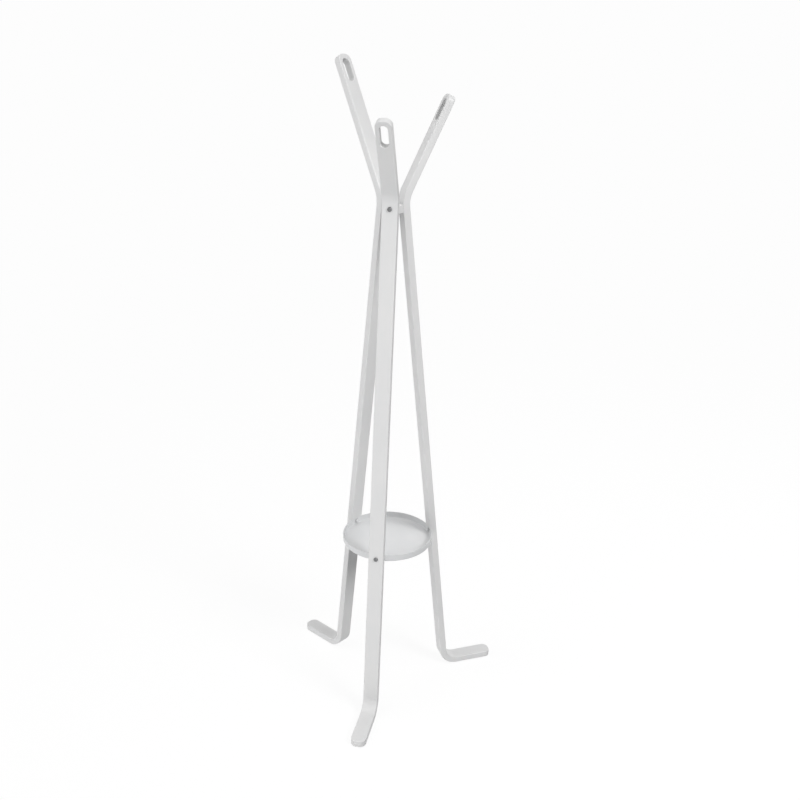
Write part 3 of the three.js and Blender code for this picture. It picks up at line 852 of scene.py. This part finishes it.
def make_tray(enamel):
    """A shallow dish turned from one profile: a flat floor, a curve, an upright wall and a round rim."""
    inner = TRAY_RADIUS - TRAY_WALL
    floor = tray_low.z + TRAY_FLOOR
    inner_round = TRAY_FOOT_ROUND - TRAY_WALL
    flat = TRAY_RADIUS - TRAY_FOOT_ROUND - TRAY_FLAT_MARGIN
    outline = rounded([
        (0, tray_low.z, 0),
        (flat, tray_low.z, 0),
        (TRAY_RADIUS, tray_low.z, TRAY_FOOT_ROUND),
        (TRAY_RADIUS, tray_high.z, TRAY_RIM_ROUND),
        (inner, tray_high.z, TRAY_RIM_ROUND),
        (inner, floor, inner_round),
        (flat, floor, 0),
        (0, floor, 0),
    ], TRAY_ROUND_STEPS)
    hole = SCREW_DIAMETER / 2 + SCREW_CLEARANCE
    cutters = [
        blind_hole("tray_screw_hole", Stand(direction), hole, TRAY_SCREW_HEIGHT, TRAY_HOLE_START, NUT_START)
        for direction in DIRECTIONS.values()
    ]
    mesh = turned_upright("tray_dish", outline, TRAY_SIDES)
    piece("tray_dish", mesh, "tray", enamel, cutters)


def screw_outline(length):
    """A screw's half profile as (radius, height), from its tip over its head to the bottom of its socket,
    with how far each point is drawn to the socket's hexagon: partly at its mouth and wholly inside it."""
    shank, head, socket = SCREW_DIAMETER / 2, SCREW_HEAD_DIAMETER / 2, SCREW_SOCKET_FLATS / 2
    top, floor = SCREW_HEAD_HEIGHT, SCREW_HEAD_HEIGHT - SCREW_SOCKET_DEPTH
    under = [
        (0, -length), (shank - SCREW_TIP_CHAMFER, -length), (shank, SCREW_TIP_CHAMFER - length),
        (shank, -SCREW_NECK_FILLET), (shank + SCREW_NECK_FILLET, 0),
        (head - SCREW_HEAD_CHAMFER, 0), (head, SCREW_HEAD_CHAMFER),
    ]
    swell = np.linspace(0, math.pi / 2, 2 * ROUND_STEPS)
    flat = head * SCREW_HEAD_FLAT
    dome_radius = flat + (head - flat) * np.cos(swell)
    dome_height = SCREW_HEAD_EDGE + (top - SCREW_HEAD_EDGE) * np.sin(swell)
    inside = [(socket + past, top - down) for past, down in SCREW_SOCKET_MOUTH]
    inside += [(socket, floor + SCREW_SOCKET_CHAMFER), (socket - SCREW_SOCKET_CHAMFER, floor),
               (0, floor - SCREW_SOCKET_CONE)]
    outline = np.concatenate([under, np.stack([dome_radius, dome_height], -1), inside])
    hexagon = np.zeros((len(outline), 1))
    hexagon[-len(inside)] = SCREW_MOUTH_SHAPE
    hexagon[1 - len(inside):] = 1
    return outline, hexagon


def make_screw(side, joint, height, length, zinc):
    """A round-headed screw: a turned profile whose innermost rows are drawn out to a hexagon, by the factor
    1 / cos(angle from the nearest flat)."""
    outline, hexagon = screw_outline(length)
    turn = np.linspace(0, 2 * math.pi, SCREW_SIDES + 1)[None]
    off_flat = (turn + math.radians(30)) % math.radians(60) - math.radians(30)
    spread = (1 / np.cos(off_flat)) ** hexagon
    grid = turned_in_leg(Stand(DIRECTIONS[side]), outline, height, -GAP, SCREW_SIDES, spread)
    mesh = mesh_of(f"{side}_{joint}_bolt", [grid])
    piece(f"{side}_{joint}_bolt", mesh, f"{side}_{joint}_screw", zinc)


def make_nut(side, enamel):
    """A blind round nut behind the tray's wall, with a domed end and a bore for the screw."""
    radius = NUT_DIAMETER / 2
    bore = SCREW_DIAMETER / 2 + GAP
    outline = rounded([
        (0, -NUT_HEIGHT, 0), (radius, -NUT_HEIGHT, NUT_END_ROUND), (radius, 0, NUT_SEAT_ROUND),
        (bore, 0, NUT_MOUTH_ROUND), (bore, -NUT_BORE_DEPTH, 0), (0, -NUT_BORE_DEPTH, 0),
    ])
    grid = turned_in_leg(Stand(DIRECTIONS[side]), outline, TRAY_SCREW_HEIGHT, NUT_START)
    mesh = mesh_of(f"{side}_blind_nut", [grid])
    piece(f"{side}_blind_nut", mesh, f"{side}_tray_nut", enamel)


def make_glide(node, felt):
    """A felt disc with rounded edges, whose radius ripples by two sines of the turn, as cut felt does."""
    low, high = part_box(node)
    rim = (high.x - low.x) / 2
    corners = [(0, low.z, 0), (rim, low.z, GLIDE_ROUND), (rim, high.z, GLIDE_ROUND), (0, high.z, 0)]
    radius, turn, height = turned(rounded(corners), GLIDE_SIDES)
    radius = radius * (1 - GLIDE_RIPPLE * (1 + np.sin(9 * turn) * np.sin(4 * turn + 1)))
    centre = (low + high) / 2
    points = np.dstack([centre.x + radius * np.cos(turn), centre.y + radius * np.sin(turn), height])
    mesh = mesh_of(f"{node}_pad", [points])
    piece(f"{node}_pad", mesh, node, felt)


# ------------------------------ the stand

strip_lacquer = white_lacquer("white_lacquer_on_bent_strip", Finish.strip_place, True)
hub_lacquer = white_lacquer("white_lacquer_on_hub", Finish.place, False)
enamel = white_enamel()
zinc = zinc_plate()
brass = turned_brass()
felt = grey_felt()

make_hub(hub_lacquer)
make_tray(enamel)
for side in DIRECTIONS:
    make_strip(side, strip_lacquer)
    make_screw(side, "hub", HUB_SCREW_HEIGHT, HUB_SCREW_LENGTH, zinc)
    make_screw(side, "tray", TRAY_SCREW_HEIGHT, TRAY_SCREW_LENGTH, zinc)
    make_nut(side, enamel)
    make_glide(f"{side}_toe_glide", felt)
    make_glide(f"{side}_heel_glide", felt)
    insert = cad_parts[f"{side}_hub_insert"]
    insert.data.materials.clear()
    insert.data.materials.append(brass)

# ------------------------------ floor, light and camera

PAPER_LEVEL = 0.982                     # linear brightness of the pale studio
PAPER_COLOUR = 0.12                     # how much of the light on it the paper near the stand gives back
PAPER_FADE = (1, 5)                     # from the axis, where the paper begins to glow by itself alone
FLOOR_LIGHT = 0.72                      # light that reaches the floor
COVE_RADIUS = 16
COVE_HEIGHT = 14
COVE_ROUND = 6
COVE_RINGS = (0.5, 2, 6)                # rings of points on its floor
COVE_SIDES = 96

# Wide even lamps: name, brightness on a surface square to it, spread, bearing to the right of the front and
# height above the horizon, in degrees. The low ones stand for light that comes back from the pale floor.
EVEN_LAMPS = [
    ("left_softbox", 0.26, 55, -60, 35),
    ("left_panel", 0.12, 60, -80, 0),
    ("left_floor_bounce", 0.16, 60, -60, -30),
    ("front_floor_bounce", 0.40, 60, 0, -30),
    ("top_panel", 0.36, 60, 0, 85),
    ("back_panel", 0.34, 60, 180, 5),
]
EVEN_LAMP_PLACE = (0, 0, 4)             # of all of them: only the way that they shine counts
KEY_POWER = 184
KEY_SIZE = 2.4
KEY_BEARING = math.radians(60)          # to the right of the front
KEY_DISTANCE = 4.93                     # level distance from the stand's axis
KEY_HEIGHT = 4.3
KEY_AIM_HEIGHT = 0.9                    # where on the axis it shines
SKY_LEVEL = 0.02
GROUND_LEVEL = 0.08
HORIZON_BLUR = 0.15                     # sine of the angle over which the ground's light becomes the sky's


def make_cove():
    """A wide sheet of pale paper: a flat floor that curves up all round into walls and closes overhead, one
    profile turned about the stand's axis. It glows evenly, so that shadows on it stay faint."""
    outline = rounded([
        (0, 0, 0), *((radius, 0, 0) for radius in COVE_RINGS), (COVE_RADIUS, 0, COVE_ROUND),
        (COVE_RADIUS, COVE_HEIGHT, COVE_ROUND), (0, COVE_HEIGHT, 0),
    ], 2 * ROUND_STEPS)
    paper = Finish("pale_paper", Roughness=0.9, Specular_IOR_Level=0.0, Emission_Strength=1.0)
    place = paper.place()
    far = paper.eased(paper.length(place), *PAPER_FADE)
    tooth = paper.noise(place, 300, detail=3)
    near = paper.tint(tooth, shade(PAPER_COLOUR), shade(PAPER_COLOUR * 1.02))
    near_glow = shade(PAPER_LEVEL - PAPER_COLOUR * FLOOR_LIGHT)
    paper.shows(
        Base_Color=paper.tint(far, near, shade(0)),
        Emission_Color=paper.tint(far, near_glow, shade(PAPER_LEVEL)),
        Normal=paper.relief(tooth, 0.05 * MM),
    )
    sheet = bpy.data.objects.new("paper_cove", turned_upright("paper_cove", outline, COVE_SIDES))
    bpy.context.scene.collection.objects.link(sheet)
    sheet.data.shade_smooth()
    sheet.data.materials.append(paper.material)
    sheet.visible_diffuse = False
    sheet.visible_shadow = False


def aim(lamp, place, towards):
    """Puts a lamp at a place, shining back along `towards`."""
    held = bpy.data.objects.new(lamp.name, lamp)
    held.location = place
    held.rotation_mode = "QUATERNION"
    held.rotation_quaternion = towards.to_track_quat("Z", "Y")
    held.visible_camera = False
    bpy.context.scene.collection.objects.link(held)


def bearing_way(bearing, height):
    """The way to a lamp at a bearing to the right of the stand's front and a height above the horizon."""
    level = math.cos(height)
    return Vector((math.sin(bearing) * level, -math.cos(bearing) * level, math.sin(height)))


def make_lamps():
    """A large soft lamp high on the right, and wide even lamps on the left, in front, above and behind."""
    for name, strength, spread, bearing, height in EVEN_LAMPS:
        lamp = bpy.data.lights.new(name, "SUN")
        lamp.energy = strength * math.pi
        lamp.angle = math.radians(spread)
        aim(lamp, EVEN_LAMP_PLACE, bearing_way(math.radians(bearing), math.radians(height)))
    key = bpy.data.lights.new("right_softbox", "AREA")
    key.shape = "DISK"
    key.size = KEY_SIZE
    key.energy = KEY_POWER
    place = Vector((AXIS.x, AXIS.y, KEY_HEIGHT)) + bearing_way(KEY_BEARING, 0) * KEY_DISTANCE
    aim(key, place, place - Vector((AXIS.x, AXIS.y, KEY_AIM_HEIGHT)))


def make_room():
    """A dim room that is lighter below than above."""
    room = bpy.data.worlds.new("dim_room")
    room.use_nodes = True
    board = Board(room.node_tree)
    height = board.part(board.place("Generated"), "Z")
    inputs = {"Value": height, "From Min": -HORIZON_BLUR, "From Max": HORIZON_BLUR}
    above = board.node("ShaderNodeMapRange", inputs=inputs, output="Result")
    colour = board.tint(above, shade(GROUND_LEVEL, -0.03), shade(SKY_LEVEL))
    board.feed(board.tree.nodes["Background"].inputs["Color"], colour)
    bpy.context.scene.world = room


CAMERA_DISTANCE = 2.278                 # level distance from the stand's axis
CAMERA_HEIGHT = 1.756                   # above the floor
CAMERA_BEARING = math.radians(12.43)    # to the right of straight in front
CAMERA_TURN = math.radians(0.67)        # aims that much to the right of the axis
CAMERA_TILT = math.radians(21.51)       # looks down
CAMERA_ROLL = math.radians(1.228)
CAMERA_LENS = 42.31                     # in millimetres, as is the sensor's width
CAMERA_SENSOR = 36
CAMERA_REACH = 200                      # past the far side of the cove


def make_camera():
    """A camera in front of the stand, turned a little to the right, tilted down and rolled a little."""
    lens = bpy.data.cameras.new("camera")
    lens.lens = CAMERA_LENS
    lens.sensor_width = CAMERA_SENSOR
    lens.clip_end = CAMERA_REACH
    held = bpy.data.objects.new("camera", lens)
    bpy.context.scene.collection.objects.link(held)
    turn = CAMERA_TURN - CAMERA_BEARING
    forward = math.cos(CAMERA_TILT)
    ahead = Vector((math.sin(turn) * forward, math.cos(turn) * forward, -math.sin(CAMERA_TILT)))
    level = Vector((math.cos(turn), -math.sin(turn), 0))
    over = level.cross(ahead)
    right = level * math.cos(CAMERA_ROLL) + over * math.sin(CAMERA_ROLL)
    over = over * math.cos(CAMERA_ROLL) - level * math.sin(CAMERA_ROLL)
    place = Vector((AXIS.x, AXIS.y, CAMERA_HEIGHT)) + bearing_way(CAMERA_BEARING, 0) * CAMERA_DISTANCE
    turned_to = Matrix((right, over, -ahead)).transposed().to_4x4()
    held.matrix_world = Matrix.Translation(place) @ turned_to
    bpy.context.scene.camera = held


make_camera()
make_cove()
make_lamps()
make_room()
bpy.context.scene.view_settings.view_transform = "Standard"
